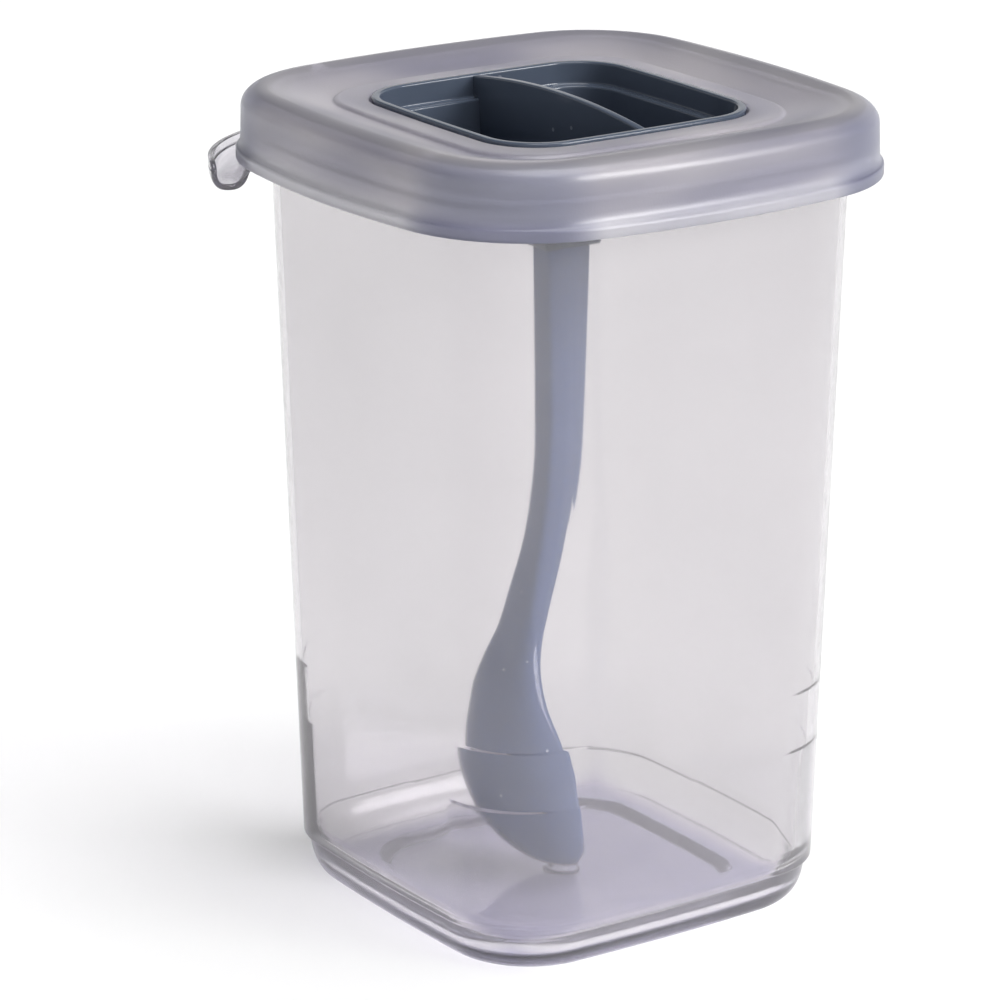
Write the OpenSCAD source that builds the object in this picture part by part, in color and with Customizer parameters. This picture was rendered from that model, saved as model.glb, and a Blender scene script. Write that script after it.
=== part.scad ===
// Tall square food canister: clear tub, frosted snap lid, lift-out grip plug
// and a long scoop that hangs from the plug.
// Origin: centre of the face that stands on the table, +Z up.
// +X and +Y point at two sides; the pull tab is at the -X +Y corner.

/* [Tub] */
// Height of the rim's top face above the table
tub_h = 185.4; // [150:0.2:230]
// Outer width of the wall at the rim
mouth_w = 106.6; // [96:0.2:122]
// Outer width where the wall meets the rounded foot
foot_w = 98.2; // [88:0.2:104]
// Outer width of the ring that stands on the table
base_w = 87.4; // [80:0.2:94]
// Height of the rounded foot
foot_h = 9.7; // [7:0.1:14]
// Reach of the wall's lower edge past the foot
foot_step = 1.2; // [0.6:0.1:1.6]
// Height of the inner cove above the foot
cove_rise = 6; // [4:0.1:8]
// Width of the inner cove
cove_w = 7; // [5:0.1:8]
// Thickness of the wall
wall_t = 1.5; // [1:0.1:2.4]
// Thickness of the floor
floor_t = 1.6; // [1.2:0.1:2.4]
// Width of the sunken panel in the floor
panel_w = 63; // [50:0.5:68]
// Width of the slope round the sunken panel
panel_slope = 2.6; // [1:0.1:4]
// Depth of the sunken panel
panel_step = 1.3; // [0.6:0.1:1.8]
// Depth of the hollow under the panel
base_hollow = 0.4; // [0.3:0.1:0.8]
// Corner radius of the wall at the rim
corner_r = 21; // [17:0.5:25]
// Corner radius at the top of the foot
foot_corner_r = 21; // [18:0.5:24]
// Corner radius of the standing ring
base_corner_r = 19.5; // [15:0.5:21]
// Radius of the slight bulge along each side of the tub
side_bow = 560; // [400:10:900]
// Height of the upper line where the inner corners get thicker
corner_line_1 = 53; // [46:0.5:64]
// Height of the lower line where the inner corners get thicker
corner_line_2 = 39; // [24:0.5:44]
// Growth of the inner corner radius at each line
corner_step = 1.2; // [0.4:0.1:1.6]

/* [Rim] */
// Reach of the rolled rim beyond the wall
rim_reach = 5.3; // [4.6:0.1:6.5]
// Thickness of the rim
rim_t = 1.6; // [1.2:0.1:2]
// Height of the rim's turned-down edge
rim_drop = 5; // [4:0.1:6]

/* [Lid] */
// Thickness of the lid over the rim
lid_t = 2; // [1.4:0.1:2.6]
// Thickness of the skirt
skirt_t = 1.4; // [1:0.1:1.8]
// Gap between the rim and the skirt
skirt_gap = 1.3; // [0.8:0.1:2]
// Height from the lip to the crest
skirt_h = 16; // [14:0.2:20]
// Height of the lip
lip_h = 2.6; // [1.8:0.1:3.4]
// Reach of the lip beyond the skirt
lip_flare = 2.2; // [1.4:0.1:2.8]
// Width of the rounded shoulder
shoulder_w = 6.2; // [4:0.1:8]
// Height of the rounded shoulder
shoulder_h = 4.6; // [3:0.1:6]
// Drop from the crest to the groove round the raised band
dish_drop = 3.3; // [2:0.1:4]
// Extra corner radius of the skirt over that of the wall
skirt_corner_extra = 8; // [7:0.5:12]
// Radius of the bulge along each side of the lip
lid_bow = 220; // [180:5:400]
// Depth of the ring that seals inside the mouth
seal_h = 6; // [4:0.2:9]
// Thickness of the sealing ring
seal_t = 1.3; // [1:0.1:1.8]
// Gap between the sealing ring and the wall
seal_gap = 0.45; // [0.3:0.05:0.8]
// Reach of the snap bead inside the skirt
bead_reach = 0.8; // [0.3:0.1:0.9]

/* [Opening] */
// Width of the opening in the lid
opening_w = 69.2; // [60:0.2:74]
// Corner radius of the opening
opening_corner_r = 14.5; // [11:0.5:17]
// Width of the raised band round the opening
band_w = 7; // [5:0.1:8]
// Height of the raised band
band_h = 0.75; // [0.4:0.05:1.2]
// Corner radius of the groove round the band
band_corner_r = 17.5; // [15:0.5:20]
// Depth of the plug's ledge below the band
ledge_depth = 6.45; // [5:0.05:8]
// Width of the ledge
ledge_w = 2.4; // [1.6:0.1:3]
// Thickness of the ledge and of the collar round it
ledge_t = 1.6; // [1.2:0.1:2]

/* [Pull tab] */
// Width of the tab
tab_w = 30; // [24:0.5:32]
// Spread of the tab's root beyond its width at each side
tab_spread = 5; // [4:0.1:6.5]
// Reach of the tab beyond the lip
tab_reach = 6.2; // [5.5:0.1:9]
// Thickness of the tab
tab_t = 1.3; // [1:0.1:1.4]
// Drop of the tab below the lip
tab_drop = 6; // [5:0.1:8]
// Rise of the tab's edge above the underside of the lip
tab_rise = 0.4; // [0.2:0.1:2]
// Rounding of the two corners of the tab's edge
tab_corner_r = 2.4; // [1:0.1:3.5]

/* [Grip plug] */
// Gap round the plug in the opening
plug_gap = 0.45; // [0.3:0.05:0.8]
// Rise of the plug's edge above the band
plug_proud = 0.6; // [0.2:0.1:1.2]
// Thickness of the plug
plug_t = 1.9; // [1.5:0.1:2.2]
// Depth of the cup
cup_depth = 18.5; // [14:0.5:24]
// Draft of the cup's lower wall
cup_draft = 0.8; // [0.4:0.1:1.4]
// Thickness of the finger web
web_t = 2; // [1.6:0.1:3]
// Rise of the web's arch above the plug's edge
web_rise = 2.1; // [1:0.1:3]
// Depth of the socket that holds the scoop
socket_h = 12; // [8:0.5:14]
// Thickness of the socket
socket_t = 1.8; // [1.4:0.1:2.4]
// Gap round the handle in the socket
socket_gap = 0.15; // [0.1:0.05:0.3]

/* [Scoop] */
// Width of the handle
handle_w = 7.8; // [6:0.1:10]
// Depth of the handle at its top
handle_d = 10.4; // [8:0.1:12]
// Distance of the handle's middle from the plug's middle
handle_x = 0.5; // [-2:0.1:2]
// Thickness of the scoop
scoop_t = 1.6; // [1.2:0.1:2]
// Width of the bowl
bowl_w = 36; // [26:0.5:42]
// Depth of the bowl
bowl_d = 13.2; // [9:0.1:15]
// Height of the bowl
bowl_h = 56; // [44:0.5:66]
// Height of the curved neck above the bowl
neck_h = 38; // [30:0.5:46]
// Distance that the neck swings back from the handle
neck_swing = 17.3; // [10:0.1:20]
// Distance that the tip comes forward of the neck
tip_reach = 14.6; // [10:0.1:18]
// Height of the tip above the floor
tip_gap = 3.4; // [3:0.1:10]

/* [Hidden] */

clear_tint = [0.80, 0.79, 0.82, 0.45];
frosted_grey = [0.60, 0.59, 0.63, 0.85];
plug_grey = [0.27, 0.30, 0.36];
scoop_grey = [0.45, 0.49, 0.56];

// Segments in each rounded corner, along each side and round each fillet
corner_steps = 8;
side_steps = 4;
fillet_steps = 4;
// Segments across each half of the tab
tab_steps = 5;
// Bulge radius of the opening's sides and of the band's sides
opening_bow = 620;
band_bow = 520;
// Small edge break
edge = 0.4;
// Fillet under the rim, rounding of its top edge and height of each inner corner line
rim_fillet = 2.2;
rim_round = 1.1;
line_h = 0.5;
// Height of the curve from the lip to the skirt and of each slope of the snap bead
flare_h = 2.6;
bead_slope = 0.8;
// Growth of the lip's corner radius for each millimetre of its flare
lip_growth = 2.5;
// Draft of the cup's upper wall and rounding where its lower wall meets its floor
upper_draft = 0.2;
cup_round = 1;

mouth_half = mouth_w / 2;
foot_half = foot_w / 2;
base_half = base_w / 2;
panel_half = panel_w / 2;
rim_half = mouth_half + rim_reach;
rim_inner = rim_half - rim_t;
rim_z = tub_h;
panel_z = base_hollow + floor_t;
floor_z = panel_z + panel_step;

skirt_inner = rim_half + skirt_gap;
skirt_half = skirt_inner + skirt_t;
lip_half = skirt_half + lip_flare;
skirt_r = corner_r + skirt_corner_extra;
lip_r = skirt_r + lip_growth * lip_flare;
crest_half = skirt_half - shoulder_w;
crest_z = rim_z + lid_t;
lip_z = crest_z - skirt_h;
groove_z = crest_z - dish_drop;
band_z = groove_z + band_h;

opening_half = opening_w / 2;
band_half = opening_half + band_w;
ledge_half = opening_half - ledge_w;
ledge_z = band_z - ledge_depth;
collar_half = opening_half + ledge_t;
plate_z = groove_z - lid_t;
seal_half = mouth_half - wall_t - seal_gap;

plug_half = opening_half - plug_gap;
plug_z = band_z + plug_proud;
cup_half = plug_half - plug_t;
lower_half = ledge_half - plug_gap;
step_z = ledge_z + plug_t;
cup_floor_z = plug_z - cup_depth;
cup_base_z = cup_floor_z - plug_t;

tip_z = panel_z + tip_gap;
bowl_top_z = tip_z + bowl_h;
neck_top_z = bowl_top_z + neck_h;
handle_front = handle_x + handle_d / 2;
neck_front = handle_front - neck_swing;

// Distance from the middle of a bulging square to the centre of its corner arcs.
function corner_centre(half, r, bow) =
    let (q = half - bow)
    (q + sqrt(2 * pow(bow - r, 2) - q * q)) / 2;

// Rounded square with bulging sides at height z, counter-clockwise seen from above.
function square_ring(half, r, bow, z) =
    let (
        c = corner_centre(half, r, bow),
        q = half - bow,
        turn = atan2(c, c - q),
        corner = [for (i = [0 : corner_steps])
            let (a = 90 - turn - (90 - 2 * turn) * i / corner_steps)
            [c + r * sin(a), c + r * cos(a)]],
        side = [for (i = [1 : side_steps - 1])
            let (a = turn - 2 * turn * i / side_steps)
            [bow * sin(a), q + bow * cos(a)]])
    [for (k = [0 : 3]) for (p = concat(corner, side))
        [p[0] * cos(90 * k) - p[1] * sin(90 * k), p[0] * sin(90 * k) + p[1] * cos(90 * k), z]];

// Triangles that join ring a to ring b, each n points long.
function band_faces(a, b, n) =
    [for (j = [0 : n - 1])
        let (k = (j + 1) % n)
        each [[a * n + j, b * n + j, b * n + k], [a * n + j, b * n + k, a * n + k]]];

// Solid through a stack of rings, closed by a flat face at each end.
module capped_loft(rings) {
    n = len(rings[0]);
    last = len(rings) - 1;
    polyhedron(
        points = [for (ring = rings) each ring],
        faces = concat(
            [[for (j = [0 : n - 1]) j]],
            [for (i = [0 : last - 1]) each band_faces(i, i + 1, n)],
            [[for (j = [n - 1 : -1 : 0]) last * n + j]]),
        convexity = 10);
}

// Solid whose rings run once round a closed outline and meet again.
module closed_loft(rings) {
    n = len(rings[0]);
    count = len(rings);
    polyhedron(
        points = [for (ring = rings) each ring],
        faces = [for (i = [0 : count - 1]) each band_faces(i, (i + 1) % count, n)],
        convexity = 10);
}

// Quarter of an ellipse that starts upright at [h0, z0] and ends level at [h1, z1].
function quarter(h0, z0, h1, z1, steps = fillet_steps) =
    [for (i = [0 : steps])
        let (a = 90 * i / steps)
        [h1 + (h0 - h1) * cos(a), z0 + (z1 - z0) * sin(a)]];

function reverse(list) = [for (i = [len(list) - 1 : -1 : 0]) list[i]];

// Half width and corner radius of the tub's outer face at height z.
function wall_half(z) = lookup(z, [[foot_h, foot_half], [rim_z, mouth_half]]);
function wall_r(z) = lookup(z, [[foot_h, foot_corner_r], [rim_z, corner_r]]);

// Ring that follows the tub's outer face at a distance inside it.
function wall_ring(inset, z, thicken = 0) =
    square_ring(wall_half(z) - inset, wall_r(z) - inset + thicken, side_bow, z);

// Ring of the tub's foot or floor, whose half width is given.
function floor_ring(half, z) =
    square_ring(half, base_corner_r * half / base_half, side_bow, z);

// Ring of the foot's rounded outer face.
function foot_ring(half, z) =
    square_ring(half, lookup(z, [[0, base_corner_r], [foot_h, foot_corner_r]]), side_bow, z);

// Ring of the cove between the inner wall and the floor.
function cove_ring(half, z) =
    square_ring(half, foot_corner_r + 2 * corner_step + half - foot_half, side_bow, z);

// Ring of the lid and of the rim under it, whose shape follows from its half width.
function lid_ring(half, z) = square_ring(
    half,
    lookup(half, [[opening_half, opening_corner_r], [band_half, band_corner_r],
        [skirt_half, skirt_r], [lip_half, lip_r]]),
    lookup(half, [[opening_half, opening_bow], [band_half, band_bow], [lip_half, lid_bow]]),
    z);

// Ring of the opening and of the plug in it.
function opening_ring(half, z) =
    square_ring(half, opening_corner_r + half - opening_half, opening_bow, z);

// Rings for a list of [half width, height] pairs.
function lid_rings(list) = [for (p = list) lid_ring(p[0], p[1])];
function opening_rings(list) = [for (p = list) opening_ring(p[0], p[1])];

module container_body() {
    under = rim_z - rim_t;
    cove_half = foot_half - wall_t - cove_w;
    underside = [
        floor_ring(panel_half, base_hollow),
        floor_ring(panel_half + panel_slope, 0)];
    foot = [for (p = reverse(quarter(foot_half - foot_step, foot_h, base_half, 0, 6)))
        foot_ring(p[0], p[1])];
    wall = concat(
        [wall_ring(edge, foot_h), wall_ring(0, foot_h + edge)],
        [for (i = [0 : 2])
            let (a = 30 * i)
            wall_ring(-rim_fillet * (1 - cos(a)), under - rim_fillet * (1 - sin(a)))]);
    rim = concat(
        lid_rings([
            [rim_inner - edge, under],
            [rim_inner, under - edge],
            [rim_inner, rim_z - rim_drop + edge],
            [rim_inner + edge, rim_z - rim_drop],
            [rim_half - edge, rim_z - rim_drop],
            [rim_half, rim_z - rim_drop + edge]]),
        lid_rings(quarter(rim_half, rim_z - rim_round, rim_half - rim_round, rim_z)));
    inside = [
        wall_ring(wall_t - 2 * edge, rim_z),
        wall_ring(wall_t, rim_z - 2 * edge),
        wall_ring(wall_t, corner_line_1 + line_h / 2),
        wall_ring(wall_t, corner_line_1 - line_h / 2, corner_step),
        wall_ring(wall_t, corner_line_2 + line_h / 2, corner_step),
        wall_ring(wall_t, corner_line_2 - line_h / 2, 2 * corner_step)];
    cove = [for (p = quarter(foot_half - wall_t, foot_h + cove_rise, cove_half, floor_z, 6))
        cove_ring(p[0], p[1])];
    floor_top = [
        floor_ring(panel_half + panel_slope, floor_z),
        floor_ring(panel_half, panel_z)];
    color(clear_tint) capped_loft(concat(underside, foot, wall, rim, inside, cove, floor_top));
}

// Path of the pull tab from its root in the lip to its edge: reach beyond the lip,
// height and half width.
function tab_path() =
    let (
        root = -tab_t / 2 - 1.5 * edge,
        far = tab_reach - tab_t / 2,
        bend = 0.65 * tab_drop,
        bend_z = lip_z - tab_drop + tab_t / 2 + bend,
        tip_z = lip_z + tab_rise,
        w = tab_w / 2,
        curve = half_outline((far - root) / 2, bend, 2.6, 12),
        down = concat(
            [[root, lip_z + lip_h / 2], [root, lip_z - edge]],
            [for (i = [0 : 6]) [(far + root) / 2 - curve[i][0], bend_z - curve[i][1]]]),
        up = [for (i = [7 : 12]) [(far + root) / 2 - curve[i][0], bend_z - curve[i][1]]])
    concat(
        [for (p = down) [p[0], p[1],
            w + tab_spread * pow(1 - max(lip_z - p[1], 0) / tab_drop, 2)]],
        [for (p = up) [p[0], p[1], w]],
        [for (i = [1 : 5])
            let (a = 90 * i / 5, r = tab_corner_r)
            [far, tip_z - r + r * sin(a), w - r + r * cos(a)]]);

// Ring of points round one section of the tab: along its upper face, then back.
function tab_ring(path, i) =
    let (
        a = path[max(i - 1, 0)],
        b = path[min(i + 1, len(path) - 1)],
        p = path[i],
        n = [b[1] - a[1], a[0] - b[0]] / norm([b[0] - a[0], b[1] - a[1]]) * tab_t / 2,
        turn = p[2] / lip_r * 180 / PI,
        steps = [for (k = [-tab_steps : tab_steps]) turn * k / tab_steps])
    concat(
        [for (t = steps) tab_point(p[0] - n[0], p[1] - n[1], t)],
        [for (t = reverse(steps)) tab_point(p[0] + n[0], p[1] + n[1], t)]);

// Point outside the lip's corner arc, at an angle from the diagonal.
function tab_point(reach, z, turn) =
    let (c = corner_centre(lip_half, lip_r, lid_bow), r = lip_r + reach)
    [c + r * cos(45 + turn), c + r * sin(45 + turn), z];

module pull_tab() {
    path = tab_path();
    rotate([0, 0, 90])
        strip_loft([for (i = [0 : len(path) - 1]) tab_ring(path, i)], 2 * tab_steps + 1);
}

module snap_lid() {
    skirt_z = lip_z + lip_h;
    dish_w = crest_half - band_half;
    bead_top = rim_z - rim_drop - edge;
    bead_half = skirt_inner - bead_reach;
    lip = lid_rings(concat(
        [[lip_half - edge, lip_z], [lip_half, lip_z + edge], [lip_half, skirt_z - edge]],
        [for (i = [0 : 4])
            let (a = 90 * i / 4)
            [lip_half - edge - (lip_flare - edge) * sin(a), skirt_z + flare_h * (1 - cos(a))]]));
    shoulder = lid_rings(quarter(skirt_half - edge / 2, crest_z - shoulder_h, crest_half, crest_z, 7));
    dish = lid_rings([for (i = [1 : 6])
        let (t = i / 6)
        [crest_half - dish_w * t, crest_z - dish_drop * (0.75 * t + (1 - cos(180 * t)) / 8)]]);
    band = lid_rings([
        [band_half - 0.6 * band_h, band_z - edge / 2],
        [band_half - 1.4 * band_h, band_z],
        [opening_half + 2 * edge, band_z],
        [opening_half + edge / 2, band_z - edge / 2]]);
    well = opening_rings([
        [opening_half, band_z - 2 * edge],
        [opening_half, ledge_z],
        [ledge_half, ledge_z],
        [ledge_half, ledge_z - ledge_t],
        [collar_half, ledge_z - ledge_t],
        [collar_half, plate_z]]);
    plate = lid_rings([
        [band_half, plate_z],
        [band_half + 0.4 * dish_w, plate_z + 0.25 * dish_drop]]);
    seal_in = wall_t + seal_gap;
    seal = [
        wall_ring(seal_in + seal_t, rim_z - edge),
        wall_ring(seal_in + seal_t, rim_z - seal_h),
        wall_ring(seal_in + edge, rim_z - seal_h),
        wall_ring(seal_in, rim_z - seal_h + 2 * edge),
        wall_ring(seal_in, rim_z)];
    inside = lid_rings([
        [skirt_inner - rim_round, rim_z],
        [skirt_inner, rim_z - rim_round],
        [skirt_inner, bead_top],
        [bead_half, bead_top - bead_slope],
        [bead_half, bead_top - bead_slope - edge],
        [skirt_inner, bead_top - 2 * bead_slope - edge],
        [skirt_inner, lip_z + edge / 2],
        [skirt_inner + edge / 2, lip_z]]);
    color(frosted_grey) {
        closed_loft(concat(lip, shoulder, dish, band, well, plate, seal, inside));
        pull_tab();
    }
}

module grip_plug() {
    underside = opening_rings([
        [lower_half - cup_draft - edge, cup_base_z],
        [lower_half - cup_draft, cup_base_z + edge]]);
    outside = opening_rings([
        [lower_half, ledge_z],
        [plug_half, ledge_z],
        [plug_half, plug_z - edge],
        [plug_half - edge, plug_z]]);
    inside = opening_rings([
        [cup_half + edge, plug_z],
        [cup_half, plug_z - edge],
        [cup_half - upper_draft, step_z + edge],
        [cup_half - upper_draft - edge, step_z],
        [lower_half - plug_t + edge, step_z],
        [lower_half - plug_t, step_z - edge],
        [lower_half - plug_t - cup_draft, cup_floor_z + cup_round],
        [lower_half - plug_t - cup_draft - cup_round, cup_floor_z]]);
    color(plug_grey) {
        capped_loft(concat(underside, outside, inside));
        finger_web();
        socket();
    }
}

// Plate across the cup, with an arched top edge.
module finger_web() {
    upper = cup_half + plug_t / 2;
    lower = lower_half - cup_draft - plug_t / 2;
    arch = [for (i = [0 : 16])
        let (t = i / 8 - 1)
        [-upper * t, plug_z - edge + (web_rise + edge) * (1 - t * t)]];
    translate([web_t / 2, 0, 0])
        rotate([90, 0, -90])
        linear_extrude(web_t)
        polygon(concat(
            [[-lower, cup_floor_z - plug_t / 2], [-lower, ledge_z + plug_t / 2],
                [-upper, ledge_z + plug_t / 2]],
            reverse(arch),
            [[upper, ledge_z + plug_t / 2], [lower, ledge_z + plug_t / 2],
                [lower, cup_floor_z - plug_t / 2]]));
}

// Sleeve under the cup that takes the end of the scoop's handle.
module socket() {
    inner = [handle_d + 2 * socket_gap, handle_w + 2 * socket_gap];
    translate([handle_x, 0, cup_base_z - socket_h])
        difference() {
            linear_extrude(socket_h + plug_t / 2)
                square([inner[0] + 2 * socket_t, inner[1] + 2 * socket_t], center = true);
            translate([0, 0, -1])
                linear_extrude(socket_h + 1)
                square(inner, center = true);
        }
}

// Stations down the scoop: front edge x, height, half width, depth, squareness of the
// section and depth of the hollow.
function stations() =
    let (
        w = handle_w / 2,
        b = bowl_w / 2,
        d = handle_d,
        t = scoop_t,
        straight = cup_base_z - neck_top_z,
        swing = function (u) handle_front - neck_swing * u,
        reach = function (v) neck_front + tip_reach * v,
        up = function (v) tip_z + bowl_h * v)
    [
        [handle_front, cup_base_z, w, d, 9, d - t],
        [handle_front, cup_base_z - 0.2 * straight, w, d * 0.98, 9, d * 0.98 - t],
        [swing(0.07), neck_top_z + 0.25 * straight, w, d * 0.81, 9, d * 0.81 - t],
        [swing(0.13), neck_top_z, w * 0.97, d * 0.76, 8, d * 0.76 - t],
        [swing(0.36), bowl_top_z + neck_h * 0.56, w * 1.12, d * 0.64, 6, d * 0.64 - t],
        [swing(0.68), bowl_top_z + neck_h * 0.2, w * 1.56, d * 0.5, 4.5, d * 0.5 - t],
        [swing(0.86), up(1), b * 0.42, bowl_d * 0.34, 3.4, bowl_d * 0.34 - t],
        [swing(0.98), up(0.885), b * 0.57, bowl_d * 0.41, 2.8, bowl_d * 0.41 - t],
        [neck_front, up(0.76), b * 0.755, bowl_d * 0.6, 2.5, bowl_d * 0.6 - t],
        [reach(0.12), up(0.62), b * 0.93, bowl_d * 0.85, 2.4, bowl_d * 0.85 - t],
        [reach(0.26), up(0.46), b, bowl_d, 2.4, bowl_d - t],
        [reach(0.43), up(0.3), b * 0.945, bowl_d * 0.97, 2.4, bowl_d * 0.97 - t],
        [reach(0.62), up(0.16), b * 0.79, bowl_d * 0.8, 2.4, bowl_d * 0.8 - t],
        [reach(0.81), up(0.07), b * 0.59, bowl_d * 0.57, 2.3, bowl_d * 0.57 - t],
        [reach(0.945), up(0.02), b * 0.36, bowl_d * 0.32, 2.2, bowl_d * 0.12],
        [reach(1), tip_z, b * 0.2, bowl_d * 0.14, 2, bowl_d * 0.04]
    ];

// Point at fraction t between stations i and i + 1, on a smooth curve through all of them.
function between(list, i, t) =
    let (
        a = list[max(i - 1, 0)],
        b = list[i],
        c = list[i + 1],
        d = list[min(i + 2, len(list) - 1)])
    (2 * b + (c - a) * t + (2 * a - 5 * b + 4 * c - d) * t * t
        + (3 * b - a - 3 * c + d) * t * t * t) / 2;

// Half of a rounded outline: width across, depth back, squareness.
function half_outline(w, d, power, steps) =
    [for (i = [0 : steps])
        let (a = 180 * i / steps, c = cos(a), s = sin(a))
        [sign(c) * w * pow(abs(c), 2 / power), d * pow(max(s, 0), 2 / power)]];

module scoop() {
    list = stations();
    per_span = 3;
    path = concat(
        [for (i = [0 : len(list) - 2]) for (k = [0 : per_span - 1]) between(list, i, k / per_span)],
        [list[len(list) - 1]]);
    last = len(path) - 1;
    sections = [for (i = [0 : last])
        let (
            p = path[i],
            a = path[max(i - 1, 0)],
            b = path[min(i + 1, last)],
            length = norm([b[0] - a[0], b[1] - a[1]]),
            back = i == 0 ? [-1, 0] : [b[1] - a[1], a[0] - b[0]] / length,
            outer = half_outline(p[2], p[3], p[4], 16),
            inner = half_outline(p[2] - scoop_t, p[5], p[4], 16))
        [for (q = concat(outer, reverse(inner)))
            [p[0] + back[0] * q[1], q[0], p[1] + back[1] * q[1]]]];
    color(scoop_grey) strip_loft(sections, 17);
}

// Solid through thin curved sections: m points along one face, then m back along the other.
module strip_loft(sections, m) {
    n = 2 * m;
    last = len(sections) - 1;
    polyhedron(
        points = [for (section = sections) each section],
        faces = concat(
            [for (j = [0 : m - 2]) each [[n - 1 - j, j + 1, j], [n - 1 - j, n - 2 - j, j + 1]]],
            [for (i = [0 : last - 1]) each band_faces(i + 1, i, n)],
            [for (j = [0 : m - 2])
                each [[last * n + j, last * n + j + 1, last * n + n - 1 - j],
                    [last * n + j + 1, last * n + n - 2 - j, last * n + n - 1 - j]]]),
        convexity = 10);
}

container_body();
snap_lid();
grip_plug();
scoop();
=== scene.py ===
import math

import bmesh
import bpy
from mathutils import Matrix, Vector


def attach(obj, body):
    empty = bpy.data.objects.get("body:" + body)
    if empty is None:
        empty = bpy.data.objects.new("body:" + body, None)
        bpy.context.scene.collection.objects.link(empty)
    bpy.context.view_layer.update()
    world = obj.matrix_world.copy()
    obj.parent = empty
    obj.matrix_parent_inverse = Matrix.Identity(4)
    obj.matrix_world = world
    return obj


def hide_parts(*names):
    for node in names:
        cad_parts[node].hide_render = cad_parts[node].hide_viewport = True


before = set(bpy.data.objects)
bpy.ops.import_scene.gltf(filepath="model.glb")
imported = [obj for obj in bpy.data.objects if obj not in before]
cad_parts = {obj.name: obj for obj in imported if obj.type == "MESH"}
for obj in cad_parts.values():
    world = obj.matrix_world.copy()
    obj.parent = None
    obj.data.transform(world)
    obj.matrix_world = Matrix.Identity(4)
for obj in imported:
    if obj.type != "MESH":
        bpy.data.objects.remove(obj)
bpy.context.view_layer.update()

mm = 0.001
weld = 2e-6  # points closer than this, in metres, are one point
scene = bpy.context.scene
scene.view_settings.view_transform = "Standard"
print("frame:", sorted(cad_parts))


def lookUp(value, table):
    # straight lines between the pairs of the table, and level beyond its ends
    for (a, low), (b, high) in zip(table, table[1:]):
        if value <= b or (b, high) == table[-1]:
            share = min(max((value - a) / (b - a), 0.0), 1.0)
            return low + (high - low) * share


def quarter(half0, z0, half1, z1, steps):
    # a quarter of an oval that leaves the first point upright
    turns = [math.pi / 2 * i / steps for i in range(steps + 1)]
    return [(half1 + (half0 - half1) * math.cos(a), z0 + (z1 - z0) * math.sin(a)) for a in turns]


def stepLength(a, b):
    return math.hypot(b[0] - a[0], b[1] - a[1])


def blendPoints(a, b, share):
    return tuple(x + (y - x) * share for x, y in zip(a, b))


def turnAngle(a, b, c):
    first = math.atan2(b[1] - a[1], b[0] - a[0])
    second = math.atan2(c[1] - b[1], c[0] - b[0])
    return abs((second - first + math.pi) % (2 * math.pi) - math.pi)


def softenProfile(points, fillet, closed=False, steps=4, guard=0.22, sharpTurn=0.45, mostShare=0.45):
    # a profile point is (half width, height, corner radius, bulge radius), in millimetres
    # each sharp turn is rounded, then close points at the ends of a long run keep it shading flat
    soft = []
    last = len(points) - 1
    for i, here in enumerate(points):
        if not closed and i in (0, last):
            soft.append(here)
            continue
        before, after = points[i - 1], points[(i + 1) % len(points)]
        if turnAngle(before, here, after) < sharpTurn:
            soft.append(here)
            continue
        start, end = [blendPoints(here, there, min(fillet / stepLength(here, there), mostShare))
                      for there in (before, after)]
        for k in range(steps + 1):
            t = k / steps
            soft.append(blendPoints(blendPoints(start, here, t), blendPoints(here, end, t), t))
    if closed:
        soft.append(soft[0])
    guarded = [soft[0]]
    for a, b in zip(soft, soft[1:]):
        length = stepLength(a, b)
        if length > 5 * guard:
            guarded += [blendPoints(a, b, guard / length), blendPoints(b, a, guard / length)]
        guarded.append(b)
    return guarded


def wire(tree, value, socket):
    if isinstance(value, bpy.types.NodeSocket):
        tree.links.new(value, socket)
    elif value is not None:
        socket.default_value = value


def mathNode(tree, operation, *values):
    node = tree.nodes.new("ShaderNodeMath")
    node.operation = operation
    for value, socket in zip(values, node.inputs):
        wire(tree, value, socket)
    return node.outputs[0]


def newNode(tree, kind, **inputs):
    node = tree.nodes.new(kind)
    for name, value in inputs.items():
        wire(tree, value, node.inputs[name.replace("_", " ")])
    return node


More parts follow.
